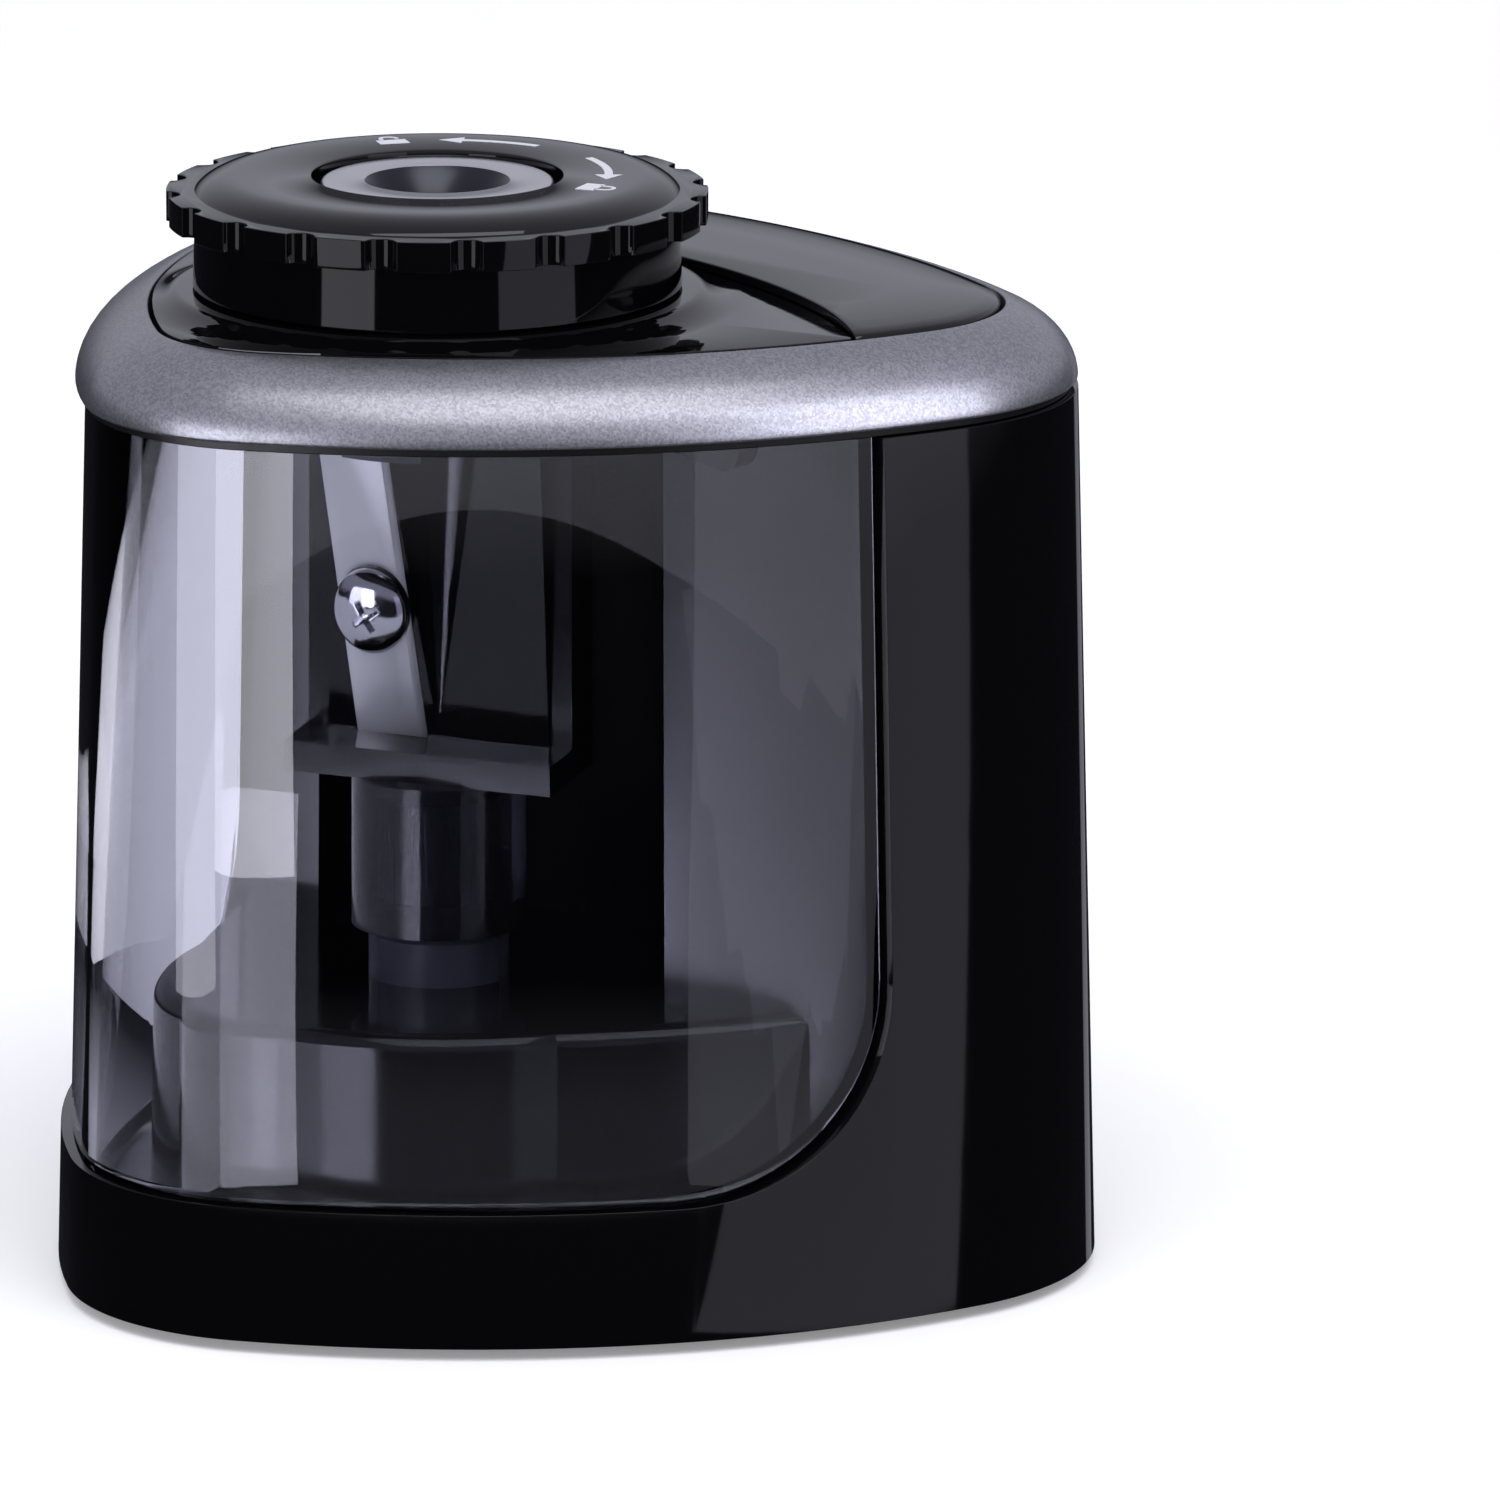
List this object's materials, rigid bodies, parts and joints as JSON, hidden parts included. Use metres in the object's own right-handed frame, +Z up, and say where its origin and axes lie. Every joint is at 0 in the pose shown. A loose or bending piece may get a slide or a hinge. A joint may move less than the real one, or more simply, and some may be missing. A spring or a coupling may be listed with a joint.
{
  "type": "electric pencil sharpener",
  "caption": "Battery pencil sharpener with a rounded-triangle housing, clear shavings window, lobed turn-lock knob, geared cutter head and lift-off battery lid.",
  "frame": {"origin": "centre of the footprint on the surface that the feet stand on", "axes": "+Z up along the pencil hole, -Y towards the nose with the window, +X to the right seen from the nose"},
  "size_m": [0.0788, 0.0742, 0.0805],
  "materials": {
    "shell_black": "glossy",
    "inner_black": "satin",
    "trim_silver": "silver metallic paint",
    "window_smoke": "clear smoke tint",
    "bushing_satin": "satin",
    "ring_grey": "translucent grey",
    "cutter_black": "glossy",
    "coupling_smoke": "translucent smoke",
    "bush_white": "smooth",
    "gear_acetal": "smooth",
    "blade_steel": "ground",
    "screw_zinc": "bright plated",
    "shaft_steel": "ground",
    "pinion_brass": "machined",
    "cell_jacket": "printed sleeve",
    "foot_rubber": "matt"
  },
  "bodies": {
    "housing": {"housing_shell": "shell_black", "front_cover": "shell_black", "gear_deck": "inner_black", "gear_plate": "inner_black", "base_plate": "inner_black", "top_frame": "inner_black", "press_switch": "inner_black", "cell_tube_right": "inner_black", "cell_tube_left": "inner_black", "trim_band": "trim_silver", "shaft_bush": "bush_white", "motor_end_cap": "bush_white", "base_screw_front_left": "screw_zinc", "base_screw_front_right": "screw_zinc", "base_screw_rear_left": "screw_zinc", "base_screw_rear_right": "screw_zinc", "cell_spring_left": "screw_zinc", "cell_spring_right": "screw_zinc", "return_spring": "screw_zinc", "idler_axle": "shaft_steel", "motor_can": "shaft_steel", "cell_right": "cell_jacket", "cell_left": "cell_jacket", "foot_rear_right": "foot_rubber", "foot_rear_left": "foot_rubber", "foot_front_right": "foot_rubber", "foot_front_left": "foot_rubber"},
    "knob": {"turn_knob": "shell_black", "pencil_bushing": "bushing_satin", "bayonet_ring": "ring_grey"},
    "window": {"window": "window_smoke"},
    "battery_lid": {"battery_lid": "shell_black", "contact_bridge": "screw_zinc"},
    "thrust_cup": {"thrust_cup": "inner_black"},
    "spindle": {"output_shaft": "shaft_steel", "output_gear": "gear_acetal", "coupling": "coupling_smoke", "cutter_frame": "cutter_black", "sharpener_body": "cutter_black", "blade": "blade_steel", "blade_screw": "screw_zinc"},
    "idler": {"idler_gear": "gear_acetal"},
    "rotor": {"motor_armature": "pinion_brass", "motor_shaft": "shaft_steel", "motor_pinion": "pinion_brass"}
  },
  "joints": [
    {"name": "knob_turn", "type": "hinge", "parent": "housing", "child": "knob", "pos_m": [0, -0.0064, 0.0725], "axis": [0, 0, 1], "range_deg": [0, 45]},
    {"name": "window_slide", "type": "slide", "parent": "housing", "child": "window", "axis": [0, -1, 0], "range_m": [0, 0.045]},
    {"name": "lid_lift", "type": "slide", "parent": "housing", "child": "battery_lid", "axis": [0, 0, 1], "range_m": [0, 0.03]},
    {"name": "cutter_press", "type": "slide", "parent": "housing", "child": "thrust_cup", "axis": [0, 0, -1], "range_m": [0, 0.0012], "stiffness_N_per_m": 600, "springref_m": -0.004, "deforming": ["return_spring"]},
    {"name": "cutter_spin", "type": "hinge", "parent": "thrust_cup", "child": "spindle", "pos_m": [0, -0.0064, 0.02], "axis": [0, 0, 1], "continuous": true},
    {"name": "idler_spin", "type": "hinge", "parent": "housing", "child": "idler", "pos_m": [0, 0.0106, 0.012], "axis": [0, 0, 1], "continuous": true},
    {"name": "motor_spin", "type": "hinge", "parent": "housing", "child": "rotor", "pos_m": [0, 0.0226, 0.03], "axis": [0, 0, 1], "continuous": true}
  ],
  "couplings": [
    {"joint": "idler_spin", "follows": "motor_spin", "ratio": -0.33333},
    {"joint": "cutter_spin", "follows": "motor_spin", "ratio": 0.08642}
  ]
}
